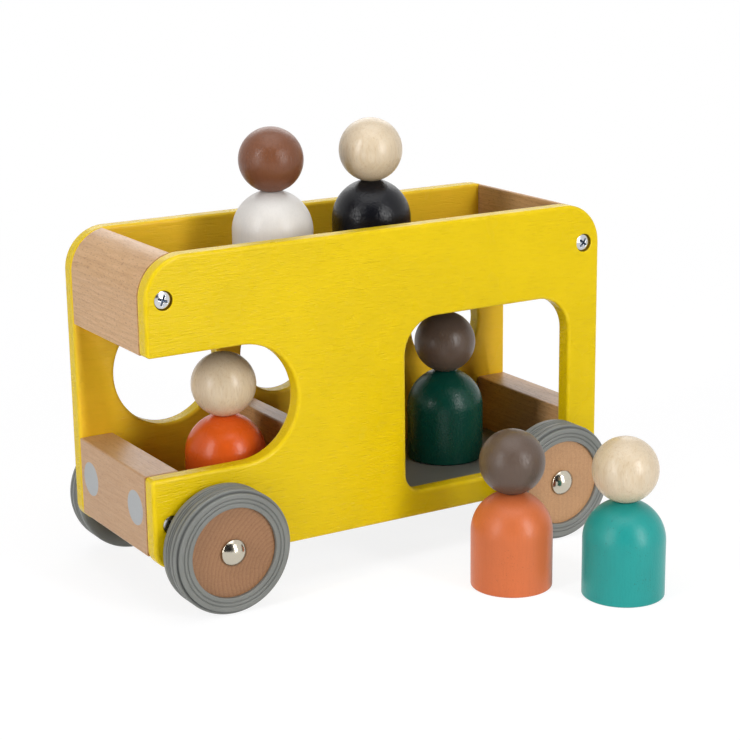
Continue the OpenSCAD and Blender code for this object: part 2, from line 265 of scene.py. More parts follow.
def disc_points(radius, rings, spokes):
    """Flat disc: (r cos t, r sin t, 0) on a grid of rings and spokes."""
    r, t = np.meshgrid(np.linspace(0, radius, rings), np.arange(spokes) * 2 * np.pi / spokes, indexing="ij")
    return np.stack([r * np.cos(t), r * np.sin(t), 0 * r], -1)


def grid_quads(rows, columns, wrap_rows=False, wrap_columns=False):
    """Quads of a grid: (i, j), (i, j + 1), (i + 1, j + 1), (i + 1, j), the last joined to the first where
    it wraps."""
    i, j = np.meshgrid(
        np.arange(rows - (not wrap_rows)), np.arange(columns - (not wrap_columns)), indexing="ij"
    )
    down, across = (i + 1) % rows, (j + 1) % columns
    corners = [i * columns + j, i * columns + across, down * columns + across, down * columns + j]
    return np.stack(corners, -1).reshape(-1, 4)


def welded_mesh(name, points, quads, edge=None):
    """Mesh of points and quads, with its faces turned outwards. Points closer than WELD are merged, which
    closes poles."""
    mesh = bpy.data.meshes.new(name)
    mesh.from_pydata(points.reshape(-1, 3).tolist(), [], quads.tolist())
    if edge is not None:
        layer = mesh.attributes.new("edge", "FLOAT", "POINT")
        layer.data.foreach_set("value", edge.astype(np.float32).ravel())
    shape = bmesh.new()
    shape.from_mesh(mesh)
    bmesh.ops.remove_doubles(shape, verts=shape.verts, dist=WELD)
    bmesh.ops.recalc_face_normals(shape, faces=shape.faces)
    shape.to_mesh(mesh)
    shape.free()
    mesh.shade_smooth()
    return mesh


print("mesh tools ready")

# %% [markdown]
# The floor is a sheet of white paper, made as a wide disc. A plain white floor would need far more light to
# come out white. This one bounces light as white paper does, and shows the camera mostly its own white, so
# the shadow that stays on it is as faint as in the picture. Away from the object it fades into the white of
# the tent.

# %% Floor
FLOOR_R, FLOOR_RINGS, FLOOR_SPOKES = 9.0, 8, 64
PAPER_WHITE = (0.86, 0.86, 0.86, 1)
FLOOR_GLOW = 0.86
FLOOR_SHADE = (0.19, 0.19, 0.195, 1)
FADE_FROM, FADE_TO = 0.5, 1.0

floor_points = disc_points(FLOOR_R, FLOOR_RINGS, FLOOR_SPOKES)
floor_mesh = welded_mesh("floor", floor_points, grid_quads(FLOOR_RINGS, FLOOR_SPOKES, wrap_columns=True))
floor = bpy.data.objects.new("floor", floor_mesh)
scene.collection.objects.link(floor)
paper = bpy.data.materials.new("white_paper")
paper.use_nodes = True
tree = paper.node_tree
tree.nodes.clear()
bounce = add(tree, "ShaderNodeBsdfDiffuse", {"Color": PAPER_WHITE}).outputs[0]
shade = add(tree, "ShaderNodeBsdfDiffuse", {"Color": FLOOR_SHADE}).outputs[0]
glow = add(tree, "ShaderNodeEmission", {"Strength": FLOOR_GLOW}).outputs[0]
near = add(tree, "ShaderNodeAddShader", {0: shade, 1: glow}).outputs[0]
spot = add(tree, "ShaderNodeTexCoord").outputs["Object"]
away = add(tree, "ShaderNodeVectorMath", {0: spot}, operation="LENGTH").outputs["Value"]
plain = add(tree, "ShaderNodeEmission", {"Strength": 1.0}).outputs[0]
fade = remap(tree, away, FADE_FROM, FADE_TO)
shown = add(tree, "ShaderNodeMixShader", {0: fade, 1: near, 2: plain}).outputs[0]
mixed = add(tree, "ShaderNodeMixShader", {0: seen_white(tree), 1: bounce, 2: shown}).outputs[0]
add(tree, "ShaderNodeOutputMaterial", {"Surface": mixed})
floor_mesh.materials.append(paper)
print(f"floor {2 * FLOOR_R:.0f} m across")

# %% [markdown]
# A studio is dark behind the camera, and polished metal shows it: each cap has a dark patch at its upper
# left. A darker world would take the white from the background as well. So a curved drape stands there.
# Only reflections see it: it takes no light away and never comes into a picture.

# %% Dark drape behind the camera
DRAPE_R, DRAPE_LEFT, DRAPE_RIGHT, DRAPE_LOW, DRAPE_HIGH = 2.0, 60, 34, 3, 52
DRAPE_ROWS, DRAPE_COLUMNS = 12, 20
DRAPE_BLACK, DRAPE_ROUGH = (0.02, 0.02, 0.022, 1), 0.9


def shell_points(radius, round_deg, up_deg, rows, columns):
    """Part of a sphere about the target: radius (cos e cos a, cos e sin a, sin e) over two ranges of
    angles."""
    a, e = np.meshgrid(
        np.radians(np.linspace(*round_deg, columns)), np.radians(np.linspace(*up_deg, rows)), indexing="xy"
    )
    way = np.stack([np.cos(e) * np.cos(a), np.cos(e) * np.sin(a), np.sin(e)], -1)
    return radius * way + np.array(TARGET)


drape_span = (CAMERA_ROUND - DRAPE_LEFT, CAMERA_ROUND + DRAPE_RIGHT)
drape_points = shell_points(DRAPE_R, drape_span, (DRAPE_LOW, DRAPE_HIGH), DRAPE_ROWS, DRAPE_COLUMNS)
drape_mesh = welded_mesh("drape", drape_points, grid_quads(DRAPE_ROWS, DRAPE_COLUMNS))
drape = bpy.data.objects.new("drape", drape_mesh)
scene.collection.objects.link(drape)
drape.visible_camera = drape.visible_diffuse = drape.visible_shadow = drape.visible_transmission = False
cloth = bpy.data.materials.new("dark_cloth")
cloth.use_nodes = True
cloth_shader = cloth.node_tree.nodes["Principled BSDF"].inputs
cloth_shader["Base Color"].default_value = DRAPE_BLACK
cloth_shader["Roughness"].default_value = DRAPE_ROUGH
drape_mesh.materials.append(cloth)
print(f"drape {DRAPE_R} m away")

# %% [markdown]
# ## Shared effects
# Wood shows on nearly every piece: bare on the blocks, wheels and some heads, and through the paint
# elsewhere. A picture of wood would have to be laid out on every piece, and would not meet at the edges. A
# pattern in space runs through a piece as real grain does. One node group draws it: growth rings about a
# pith that runs along Z, fine streaks along the grain, and short flecks.

# %% Wood grain group
PER_MM = (1 / MM, 1 / MM, 1 / MM)
WANDER_SCALE, STREAK_SCALE, FLECK_ACROSS = (0.07, 0.07, 0.022), (0.9, 0.9, 0.07), 1.5
LATE_POWER, YEAR_END, FLECK_RANGE = 2.5, 0.93, (0.56, 0.72)

wood, wood_in, wood_out = group(
    "wood_grain",
    [
        ("Vector", VECTOR, None),
        ("Ring Width", FLOAT, 2.6),
        ("Wander", FLOAT, 2.0),
        ("Fleck Length", FLOAT, 2.4),
    ],
    ["Rings", "Streaks", "Flecks"],
)
in_mm = stretch(wood, wood_in["Vector"], PER_MM)
slow = noise(wood, stretch(wood, in_mm, WANDER_SCALE), 1.0, detail=4.0)
drift = calc(wood, "MULTIPLY", calc(wood, "SUBTRACT", slow, 0.5), wood_in["Wander"])
flat = stretch(wood, in_mm, (1, 1, 0))
from_pith = add(wood, "ShaderNodeVectorMath", {0: flat}, operation="LENGTH").outputs["Value"]
phase = calc(wood, "DIVIDE", calc(wood, "ADD", from_pith, drift), wood_in["Ring Width"])
year = calc(wood, "FRACT", phase)
late = calc(wood, "POWER", year, LATE_POWER)
fade = remap(wood, year, YEAR_END, 1.0, 1.0, 0.0)
wood.links.new(calc(wood, "MULTIPLY", late, fade), wood_out["Rings"])
streaks = noise(wood, stretch(wood, in_mm, STREAK_SCALE), 1.0, detail=4.0, roughness=0.62)
wood.links.new(streaks, wood_out["Streaks"])
per_fleck = calc(wood, "DIVIDE", 1.0, wood_in["Fleck Length"])
fleck_scale = add(wood, "ShaderNodeCombineXYZ", {0: FLECK_ACROSS, 1: FLECK_ACROSS, 2: per_fleck}).outputs[0]
fleck_noise = noise(wood, stretch(wood, in_mm, fleck_scale), 1.0, detail=1.0)
wood.links.new(remap(wood, fleck_noise, *FLECK_RANGE), wood_out["Flecks"])
print("wood grain:", [s.name for s in wood.interface.items_tree])

# %% [markdown]
# Sprayed paint is never quite flat, and one even colour would look like plastic. The film has a fine
# ripple, a slow change of tone, specks of dust, and here and there a cluster of pits where the wood was
# open. The group puts out those four, and every finish uses what it needs of them.

# %% Paint film group
TONE_SCALE, DUST_SCALE, DOT_SCALE, CLUSTER_SCALE = 0.035, 2.2, 1.3, 0.055
DUST_RANGE, DOT_RANGE, CLUSTER_RANGE = (0.66, 0.74), (0.66, 0.72), (0.50, 0.60)

film, film_in, film_out = group(
    "paint_film",
    [("Vector", VECTOR, None), ("Ripple Size", FLOAT, 0.9)],
    ["Tone", "Ripple", "Dust", "Pits"],
)
film_mm = stretch(film, film_in["Vector"], PER_MM)
film.links.new(noise(film, film_mm, TONE_SCALE, detail=3.0), film_out["Tone"])
ripple_scale = calc(film, "DIVIDE", 1.0, film_in["Ripple Size"])
film.links.new(noise(film, film_mm, ripple_scale), film_out["Ripple"])
dust = remap(film, noise(film, film_mm, DUST_SCALE, detail=1.0), *DUST_RANGE)
film.links.new(dust, film_out["Dust"])
dots = remap(film, noise(film, film_mm, DOT_SCALE, detail=1.0), *DOT_RANGE)
clusters = remap(film, noise(film, film_mm, CLUSTER_SCALE), *CLUSTER_RANGE)
film.links.new(calc(film, "MULTIPLY", dots, clusters), film_out["Pits"])
print("paint film:", [s.name for s in film.interface.items_tree])

# %% [markdown]
# Handled edges wear first. A Geometry node's pointiness can find edges, but it depends on how fine a mesh
# is. So every new board carries an attribute, edge, that is 1 on its rounded edges and 0 on its flats. This
# group breaks that up, so that the wear comes in patches.

# %% Edge rub group
PATCH_SCALE, PATCH_RANGE = 0.16, (0.42, 0.70)

rub, rub_in, rub_out = group(
    "edge_rub",
    [("Vector", VECTOR, None), ("Edge", FLOAT, 0.0), ("Amount", FLOAT, 0.5)],
    ["Mask"],
)
patches = noise(rub, stretch(rub, rub_in["Vector"], PER_MM), PATCH_SCALE, detail=4.0, roughness=0.6)
patchy = calc(rub, "MULTIPLY", remap(rub, patches, *PATCH_RANGE), rub_in["Edge"])
rub.links.new(calc(rub, "MULTIPLY", patchy, rub_in["Amount"]), rub_out["Mask"])
print("edge rub:", [s.name for s in rub.interface.items_tree])

# %% [markdown]
# ## Finishes
# Each finish is a Principled shader whose colour, roughness and bump come from the shared effects. The
# grain has to run along each piece. Its coordinates could be stored in the mesh, but a Mapping node is
# simpler: it turns the object's own coordinates until the grain lies along Z.

# %% Finish helpers
GRAIN_TURNS = {"X": (0, -np.pi / 2, 0), "Y": (np.pi / 2, 0, 0), "Z": (0, 0, 0)}


def new_finish(name):
    """Empty material: its tree and the object's coordinates."""
    made = bpy.data.materials.new(name)
    made.use_nodes = True
    made.node_tree.nodes.clear()
    return made, made.node_tree, add(made.node_tree, "ShaderNodeTexCoord").outputs["Object"]


def along(tree, coordinates, grain, pith_mm):
    """Coordinates turned so that the grain lies along Z, with the pith pith_mm away after that turn."""
    ins = {"Vector": coordinates, "Rotation": GRAIN_TURNS[grain], "Location": [v * MM for v in pith_mm]}
    return add(tree, "ShaderNodeMapping", ins).outputs[0]


def close_finish(tree, colour, roughness, height, bump_mm, fixed):
    """Principled shader with a bump of bump_mm, wired to the output. fixed holds plain socket values."""
    bump = add(tree, "ShaderNodeBump", {"Height": height, "Distance": bump_mm * MM, "Strength": 1.0})
    ins = {"Base Color": colour, "Roughness": roughness, "Normal": bump.outputs[0], **fixed}
    shader = add(tree, "ShaderNodeBsdfPrincipled", ins)
    add(tree, "ShaderNodeOutputMaterial", {"Surface": shader.outputs[0]})


print("finish helpers ready")

# %% [markdown]
# ### Paint on wood
# The panels, the decks and most of the figures have semi-gloss paint: an even colour with a slow drift,
# faint flecks where the pores pull the film down, and a ripple that breaks up the reflections of the lamps.
# Edges are a little paler where the film is thin. The paints differ only in colours and amounts, so one
# function makes them all.

# %% Paint finish
PAINT_PITH_MM, PAINT_RING, PAINT_FLECK, PAINT_RIPPLE, PAINT_RUB = (40, 25, 0), 3.4, 6.0, 1.0, 0.5
# BORE_SHADE_BROWN is painted shade: the dark ring in the gap round a screw's head in its counterbore
PIT_BROWN, BORE_SHADE_BROWN = srgb(40, 34, 30), srgb(124, 92, 14)
# Depths below a panel's outer face: the inner face's colour, a painted light and shade, is full at the first
# and gone at the second.
INNER_FROM, INNER_TO = 8.8 * MM, 7.6 * MM
DEEP_SHARE, EDGE_FIBRE_SHARE, INNER_FIBRE_SHARE, FLECK_DIP_SHARE, PIT_DIP_SHARE = 0.8, 0.3, 0.6, -0.6, -0.1
PAINT_TONES, PAINT_STREAKS, ROUGH_TONES = (0.35, 0.65, 0.0, 0.25), (0.45, 0.75), (0.3, 0.7)
PAINT_ROUGH = np.array([-0.04, 0.06])


def painted(
    name, colour, pale, grain="Z", rough=0.26, ripple=0.05, fibre=0.03, pore=0.12, pits=0.3, gloss=0.3,
    inside=None,
):
    """Paint finish. pale is the thin film's colour. ripple and fibre are the heights, in millimetres, of
    the film's own relief and of the grain that shows through. inside is how far out the outer face lies,
    and the colour that the inner face has, a warmer yellow that paints in the bounced light and browner
    shade inside the bus. Bored holes, where edge is -1, are painted dark brown as shade."""
    made, tree, here = new_finish(name)
    fibres = along(tree, here, grain, PAINT_PITH_MM)
    ins = {"Vector": fibres, "Ring Width": PAINT_RING, "Fleck Length": PAINT_FLECK}
    grain_out = place_group(tree, wood, ins)
    film_here = place_group(tree, film, {"Vector": here, "Ripple Size": PAINT_RIPPLE})
    edge = add(tree, "ShaderNodeAttribute", attribute_name="edge").outputs["Fac"]
    worn = place_group(tree, rub, {"Vector": here, "Edge": edge, "Amount": PAINT_RUB})["Mask"]
    deep = tuple(DEEP_SHARE * v for v in colour[:3]) + (1.0,)
    # painted light and shade: the inner face takes a warmer yellow for the bounced light inside the bus
    if inside:
        face, inner_painted_light_colour = inside
        out = calc(tree, "ABSOLUTE", add(tree, "ShaderNodeSeparateXYZ", {0: here}).outputs[1])
        outward = remap(tree, out, face - INNER_FROM, face - INNER_TO)
        colour = tint(tree, outward, inner_painted_light_colour, colour)
        # painted shade: the counterbore's wall, where edge is -1, is drawn dark brown
        colour = tint(tree, remap(tree, edge, -1.0, 0.0), BORE_SHADE_BROWN, colour)
    drifted = tint(tree, remap(tree, film_here["Tone"], *PAINT_TONES), colour, deep)
    streaked = tint(tree, remap(tree, grain_out["Streaks"], *PAINT_STREAKS, 0.0, 2 * pore), drifted, deep)
    flecked = tint(tree, calc(tree, "MULTIPLY", grain_out["Flecks"], pore), streaked, deep)
    pitted = tint(tree, calc(tree, "MULTIPLY", film_here["Pits"], pits), flecked, PIT_BROWN)
    shade_colour = tint(tree, worn, pitted, pale)
    roughness = remap(tree, film_here["Tone"], *ROUGH_TONES, *(rough + PAINT_ROUGH))
    raised = calc(tree, "MULTIPLY_ADD", grain_out["Flecks"], FLECK_DIP_SHARE, grain_out["Streaks"])
    relief = calc(tree, "MULTIPLY", raised, remap(tree, edge, 0.0, 1.0, fibre, EDGE_FIBRE_SHARE * fibre))
    if inside:
        relief = calc(tree, "MULTIPLY", relief, remap(tree, outward, 0.0, 1.0, INNER_FIBRE_SHARE, 1.0))
    relief = calc(tree, "MULTIPLY_ADD", film_here["Ripple"], ripple, relief)
    relief = calc(tree, "MULTIPLY_ADD", film_here["Pits"], PIT_DIP_SHARE * pits, relief)
    close_finish(tree, shade_colour, roughness, relief, 1.0, {"Specular IOR Level": gloss})
    return made


print("paint finish ready")

# %% [markdown]
# Each paint is a row of a table: its colour, the paler colour of its worn edges, and what sets it apart.
# The panels show most grain, which runs along the bus, and their inner faces are painted a warmer yellow
# that stands in for the bounced light and browner shade inside the bus: painted light and shade.

# %% Paints
outer_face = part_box("left_panel")[1].y
PAINTS = {
    "yellow_paint": dict(
        colour=srgb(234, 201, 8), pale=srgb(247, 216, 50), grain="X", rough=0.25, ripple=0.04, fibre=0.22,
        # inside: the inner face's colour is painted light and shade, a warmer yellow for the bus's interior
        pore=0.05, pits=0.0, gloss=0.14, inside=(outer_face, srgb(250, 200, 48)),
    ),
    "grey_paint": dict(colour=srgb(116, 116, 110), pale=srgb(145, 145, 140), grain="X", rough=0.36),
    "orange_paint": dict(colour=srgb(222, 92, 26), pale=srgb(240, 130, 80), ripple=0.1, pits=0.1),
    "dark_green_paint": dict(colour=srgb(8, 70, 58), pale=srgb(50, 120, 104), ripple=0.18, gloss=0.24),
    "white_paint": dict(colour=srgb(231, 228, 224), pale=srgb(238, 236, 233), rough=0.34, pits=0.1),
    "black_paint": dict(colour=srgb(15, 16, 22), pale=srgb(60, 64, 72), rough=0.25, ripple=0.24, gloss=0.24),
    "coral_paint": dict(
        colour=srgb(211, 113, 66), pale=srgb(228, 140, 100), rough=0.33, ripple=0.1, pits=0.2,
    ),
    "teal_paint": dict(
        colour=srgb(36, 155, 150), pale=srgb(90, 186, 180), rough=0.33, ripple=0.1, pore=0.16, pits=0.4,
    ),
    "brown_paint": dict(colour=srgb(123, 77, 53), pale=srgb(150, 100, 76), rough=0.3, fibre=0.09, pits=0.1),
    "umber_paint": dict(colour=srgb(97, 81, 71), pale=srgb(130, 112, 100), rough=0.32, fibre=0.09, pits=0.1),
}
finishes = {name: painted(name, **values) for name, values in PAINTS.items()}
print(len(finishes), "paints")

# %% [markdown]
# ### Bare wood
# Beech is pinkish tan with short brown flecks. The turned heads are paler and show long soft streaks. Clear
# matt lacquer leaves both with a low sheen, and the grain a little raised. Two materials wired by hand
# would drift apart, so both come from one function and the same grain group.

# %% Wood finish
WOOD_WANDER, WOOD_RELIEF, WOOD_GLOSS = 5.0, 0.03, 0.45
WOOD_STREAKS, WOOD_TONES, WOOD_ROUGH = (0.3, 0.72), (0.35, 0.7, 0.0, 0.4), np.array([-0.06, 0.08])


def bare_wood(name, tones, pith_mm, ring, ring_share, fleck_share, rough, grain="Y", fleck=2.2, lamps=None):
    """Lacquered wood. tones is a light, a dark and a fleck colour, ring and fleck are a ring's width and a
    fleck's length in millimetres, and lamps holds discs printed on its front."""
    made, tree, here = new_finish(name)
    light, dark, brown = tones
    fibres = along(tree, here, grain, pith_mm)
    ins = {"Vector": fibres, "Ring Width": ring, "Wander": WOOD_WANDER, "Fleck Length": fleck}
    grain_out = place_group(tree, wood, ins)
    film_here = place_group(tree, film, {"Vector": here})
    streaked = tint(tree, remap(tree, grain_out["Streaks"], *WOOD_STREAKS), light, dark)
    slow_tone = tint(tree, remap(tree, film_here["Tone"], *WOOD_TONES), streaked, light)
    ringed = tint(tree, calc(tree, "MULTIPLY", grain_out["Rings"], ring_share), slow_tone, brown)
    colour = tint(tree, calc(tree, "MULTIPLY", grain_out["Flecks"], fleck_share), ringed, brown)
    if lamps:
        colour = tint(tree, printed_discs(tree, here, *lamps), colour, LAMP_GREY)
    roughness = remap(tree, grain_out["Streaks"], *ROUGH_TONES, *(rough + WOOD_ROUGH))
    relief = calc(tree, "MULTIPLY", grain_out["Streaks"], WOOD_RELIEF)
    relief = calc(tree, "MULTIPLY_ADD", grain_out["Flecks"], -WOOD_RELIEF, relief)
    close_finish(tree, colour, roughness, relief, 1.0, {"Specular IOR Level": WOOD_GLOSS})
    return made


print("wood finish ready")

# %% [markdown]
# The bumper's two headlights are printed. Thin discs laid on it would stand proud or flicker, so its finish
# colours two round spots instead.

# %% Printed headlights
LAMP_GREY = srgb(166, 169, 171)
LAMP_R, LAMP_OUT, LAMP_UP = 8.6 * MM, 26.2 * MM, 26.2 * MM
LAMP_BLUR, LAMP_DEPTH = 0.12 * MM, 0.2 * MM


def printed_discs(tree, here, spots, face_x):
    """1 on round spots (y, z) of a face that looks along +X, from the distance to each spot's middle."""
    flat = stretch(tree, here, (0, 1, 1))
    gaps = [
        add(tree, "ShaderNodeVectorMath", {0: flat, 1: (0, y, z)}, operation="DISTANCE").outputs["Value"]
        for y, z in spots
    ]
    inside = remap(tree, calc(tree, "MINIMUM", *gaps), LAMP_R - LAMP_BLUR, LAMP_R + LAMP_BLUR, 1.0, 0.0)
    depth = add(tree, "ShaderNodeSeparateXYZ", {0: here}).outputs[0]
    return calc(tree, "MULTIPLY", inside, calc(tree, "GREATER_THAN", depth, face_x - LAMP_DEPTH))


lamp_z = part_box("left_panel")[0].z + LAMP_UP
lamps = ([(-LAMP_OUT, lamp_z), (LAMP_OUT, lamp_z)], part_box("front_bumper")[1].x)
print(f"headlights {2 * LAMP_R / MM:.1f} mm across")

# %% [markdown]
# The blocks and the wheel discs are beech of different tones, and the bare heads are maple. Each row also
# says where the pith lies, which sets how straight the rings cross a piece.

# %% Woods
BEECH = srgb(211, 169, 121), srgb(193, 148, 101), srgb(142, 95, 57)
BUMPER = srgb(195, 153, 109), srgb(179, 136, 94), srgb(140, 95, 60)
DISC = srgb(163, 119, 82), srgb(150, 107, 72), srgb(108, 69, 45)
PALE_DISC = srgb(199, 154, 111), srgb(186, 139, 97), srgb(146, 100, 66)
MAPLE = srgb(225, 209, 184), srgb(209, 186, 152), srgb(182, 150, 108)
BLOCK_PITH = (60, -220, 0)
WOODS = {
    "beech": dict(tones=BEECH, pith_mm=BLOCK_PITH, ring=2.8, ring_share=0.26, fleck_share=0.5, rough=0.36),
    "beech_lamps": dict(
        tones=BUMPER, pith_mm=BLOCK_PITH, ring=2.8, ring_share=0.12, fleck_share=0.4, rough=0.34, lamps=lamps,
    ),
    "beech_disc": dict(
        tones=DISC, pith_mm=(-67, 16, 0), ring=2.1, ring_share=0.42, fleck_share=0.3, rough=0.4,
    ),
    "beech_disc_pale": dict(
        tones=PALE_DISC, pith_mm=(-60, 30, 0), ring=2.6, ring_share=0.18, fleck_share=0.3, rough=0.4,
    ),
    "bare_maple": dict(
        tones=MAPLE, pith_mm=(140, 90, 0), ring=3.0, ring_share=0.1, fleck_share=0.25, rough=0.28,
        grain="Z", fleck=5.0,
    ),
}
finishes.update({name: bare_wood(name, **values) for name, values in WOODS.items()})
print(len(finishes), "finishes")

# %% [markdown]
# ### Rubber, metal and plastic
# The tyres are grey rubber with a dry sheen and a dusting of lint. The caps are polished plate, the screws
# and axles plain steel, and the washers behind the wheels natural nylon. None has a grain, so one function
# serves them all: two colours that drift, a fine relief and a darker colour in the hollows, which is
# painted shade.

# %% Plain finish
PLAIN_RIPPLE, PLAIN_DUST = 0.5, 0.2
PLAIN_TONES, PLAIN_FINE = (0.35, 0.68), (0.25, 0.75)


def plain_finish(
    name, colour, other, rough, scale, bump_mm, metal=1.0, spread=0.05, stretch_by=(1, 1, 1), painted_hollow_shade=None
):
    """Finish that drifts between two colours, with a fine relief. Its last argument is a darker colour,
    painted shade, for what the edge attribute marks."""
    made, tree, here = new_finish(name)
    film_here = place_group(tree, film, {"Vector": here, "Ripple Size": PLAIN_RIPPLE})
    fine = noise(tree, stretch(tree, here, stretch_by), scale, detail=3.0)
    drifted = tint(tree, remap(tree, film_here["Tone"], *PLAIN_TONES), colour, other)
    dusted = tint(tree, calc(tree, "MULTIPLY", film_here["Dust"], PLAIN_DUST), drifted, other)
    # painted shade: what the edge attribute marks is drawn in the darker colour
    if painted_hollow_shade:
        hollow_shade_mask = add(tree, "ShaderNodeAttribute", attribute_name="edge").outputs["Fac"]
        dusted = tint(tree, hollow_shade_mask, dusted, painted_hollow_shade)
    roughness = remap(tree, fine, *PLAIN_FINE, rough - spread, rough + spread)
    close_finish(tree, dusted, roughness, fine, bump_mm, {"Metallic": metal})
    return made


print("plain finish ready")

# %% [markdown]
# Each row gives two colours, a roughness and a relief. The axles are drawn rod, so their relief is
# stretched along Y, and the tyres and screws have a darker colour in their grooves and cross, which is
# painted shade.

# %% Rubber, metal and plastic
PLAINS = {
    "tyre_rubber": dict(
        # the third colour is painted shade in the tyre's grooves and step corner
        colour=srgb(118, 120, 116), other=srgb(128, 130, 126), painted_hollow_shade=srgb(74, 76, 74),
        rough=0.52, scale=1200, bump_mm=0.012, metal=0.0,
    ),
    "cap_chrome": dict(
        colour=srgb(200, 193, 177), other=srgb(190, 183, 167),
        rough=0.17, scale=600, bump_mm=0.0004, spread=0.03,
    ),
    "screw_steel": dict(
        # the third colour is painted shade in the screw's cross
        colour=srgb(206, 207, 210), other=srgb(190, 192, 196), painted_hollow_shade=srgb(58, 70, 86),
        rough=0.16, scale=900, bump_mm=0.0006, spread=0.04,
    ),
    "axle_steel": dict(
        colour=srgb(186, 186, 188), other=srgb(170, 170, 173),
        rough=0.30, scale=900, bump_mm=0.002, spread=0.06, stretch_by=(1, 0.03, 1),
    ),
    "washer_plastic": dict(
        colour=srgb(222, 221, 216), other=srgb(212, 211, 205),
        rough=0.45, scale=700, bump_mm=0.004, metal=0.0,
    ),
}
finishes.update({name: plain_finish(name, **values) for name, values in PLAINS.items()})
print(len(finishes), "finishes")

# %% [markdown]
# ## Boards and blocks
# Panels, blocks, decks and the divider are all boards: a flat outline, maybe with openings, carried across
# a thickness, with rounded edges. Boolean and Bevel modifiers could make them, but they leave long thin
# faces that shade badly. So an outline is a list of corners with radii. The rounding is a small profile of
# inset and depth, and the board's wall is that profile at every point of the outline, a grid of two
# parameters.

# %% Outlines
ARC_STEP = np.radians(4)
EASE = 0.25 * MM
SHORT_RUN = 4 * EASE


def rounded_outline(corners):
    """Points and outward normals of a closed outline of corners (x, z, radius), with the board on the left
    of its way. A round corner is centre + radius (cos a, sin a). A run between corners gets a point close
    to either end, so that smoothed normals stay true on the flats."""
    corners = np.asarray(corners, float)
    spots, radii = corners[:, :2], corners[:, 2]
    ways = np.roll(spots, -1, 0) - spots
    lengths = np.linalg.norm(ways, axis=1)
    ways /= lengths[:, None]
    ins = np.roll(ways, 1, 0)
    turns = np.arctan2(ins[:, 0] * ways[:, 1] - ins[:, 1] * ways[:, 0], (ins * ways).sum(1))
    reaches = radii * np.tan(np.abs(turns) / 2)
    runs = lengths - reaches - np.roll(reaches, -1)
    points, normals = [], []
    for k, (spot, r, bend) in enumerate(zip(spots, radii, turns)):
        side = np.sign(bend)
        right_x, right_z = ins[k, 1], -ins[k, 0]
        centre = spot - reaches[k] * ins[k] - side * r * np.array([right_x, right_z])
        angles = np.linspace(0, bend, max(2, int(np.ceil(abs(bend) / ARC_STEP)) + 1))
        c, s = np.cos(angles), np.sin(angles)
        out = np.stack([c * right_x - s * right_z, s * right_x + c * right_z], 1)
        bent = centre + side * r * out
        if runs[k - 1] > SHORT_RUN:
            points.append(bent[:1] - EASE * ins[k])
            normals.append(out[:1])
        points.append(bent)
        normals.append(out)
        if runs[k] > SHORT_RUN:
            points.append(bent[-1:] + EASE * ways[k])
            normals.append(out[-1:])
    points, normals = np.vstack(points), np.vstack(normals)
    apart = np.linalg.norm(points - np.roll(points, 1, 0), axis=1) > WELD
    return points[apart], normals[apart]


def round_hole(x, z, r):
    """A round opening: the outline of a circle, run clockwise so that the board lies on its left."""
    return rounded_outline([(x - r, z - r, r), (x - r, z + r, r), (x + r, z + r, r), (x + r, z - r, r)])


print("outline tools ready")

# %% [markdown]
# The flats of a board have holes in them, which a grid can't follow. So only the walls are grids, and the
# flats are filled between the walls' rims.

# %% Boards
FLAT_GAP = 1e-6
EDGE_STEPS, NARROW_STEPS, LIP_STEPS = 7, 4, 5


def edge_profile(radius, thickness, steps=EDGE_STEPS):
    """Inset and depth from one face to the other: a quarter circle, the straight wall and a quarter circle.
    A third column is 1 on the rounding and 0 beside it."""
    a = np.linspace(0, np.pi / 2, steps)
    turn_in = np.stack([radius * (1 - np.sin(a)), radius * (1 - np.cos(a)), 0 * a + 1], 1)
    turn_in = np.vstack([[radius + EASE, 0, 0], turn_in, [0, radius + EASE, 0]])
    turn_out = turn_in[::-1] * [1, -1, 1] + [0, thickness, 0]
    return np.vstack([turn_in, turn_out])


def board_mesh(name, loops, y_face, y_back):
    """Board between the faces at y_face and y_back. Each loop is points, normals and a profile: a wall
    point is the outline's point moved by the inset against its normal, at the profile's depth. The flats
    between the loops are filled last."""
    way = np.sign(y_back - y_face)
    points, quads, edges, start = [], [], [], 0
    for spots, normals, profile in loops:
        inset, depth, edge = profile.T
        moved = spots[None] - inset[:, None, None] * normals[None]
        y = np.broadcast_to((y_face + way * depth)[:, None], moved.shape[:2])
        points.append(np.stack([moved[..., 0], y, moved[..., 1]], -1).reshape(-1, 3))
        quads.append(grid_quads(*moved.shape[:2], wrap_columns=True) + start)
        edges.append(np.repeat(edge, len(spots)))
        start += len(points[-1])
    mesh = welded_mesh(name, np.vstack(points), np.vstack(quads), np.concatenate(edges))
    shape = bmesh.new()
    shape.from_mesh(mesh)
    for y in (y_face, y_back):
        rim = [e for e in shape.edges if e.is_boundary and all(abs(v.co.y - y) < FLAT_GAP for v in e.verts)]
        bmesh.ops.triangle_fill(shape, edges=rim, use_beauty=True, normal=(0, 1, 0))
    bmesh.ops.recalc_face_normals(shape, faces=shape.faces)
    shape.to_mesh(mesh)
    shape.free()
    mesh.shade_smooth()
    return mesh


print("board tools ready")

# %% [markdown]
# A new piece has to move with its body and take the place of its solid. stand_for parents it to its
# body, notes the body's name on it, hides the solid that it stands for and gives it its finish.

# %% Placing a piece
def stand_for(name, mesh, node, finish):
    """Makes a piece of a mesh, in the node's place: it rides on the node's body and takes its material
    slot."""
    piece = bpy.data.objects.new(name, mesh)
    scene.collection.objects.link(piece)
    mesh.materials.append(finishes[finish])
    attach(piece, frame["nodes"][node]["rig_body"])
    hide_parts(node)
    return piece


print("pieces can be placed")

# %% [markdown]
# ### Side panels
# Two plywood boards, painted all over. The door side has a cab window that runs out to the front edge, and
# a wide door. The far side has round windows. Both are drilled for the axles and counterbored for the
# screws. The frame gives each board's box, but not what is cut in it, so the openings get their sizes here.

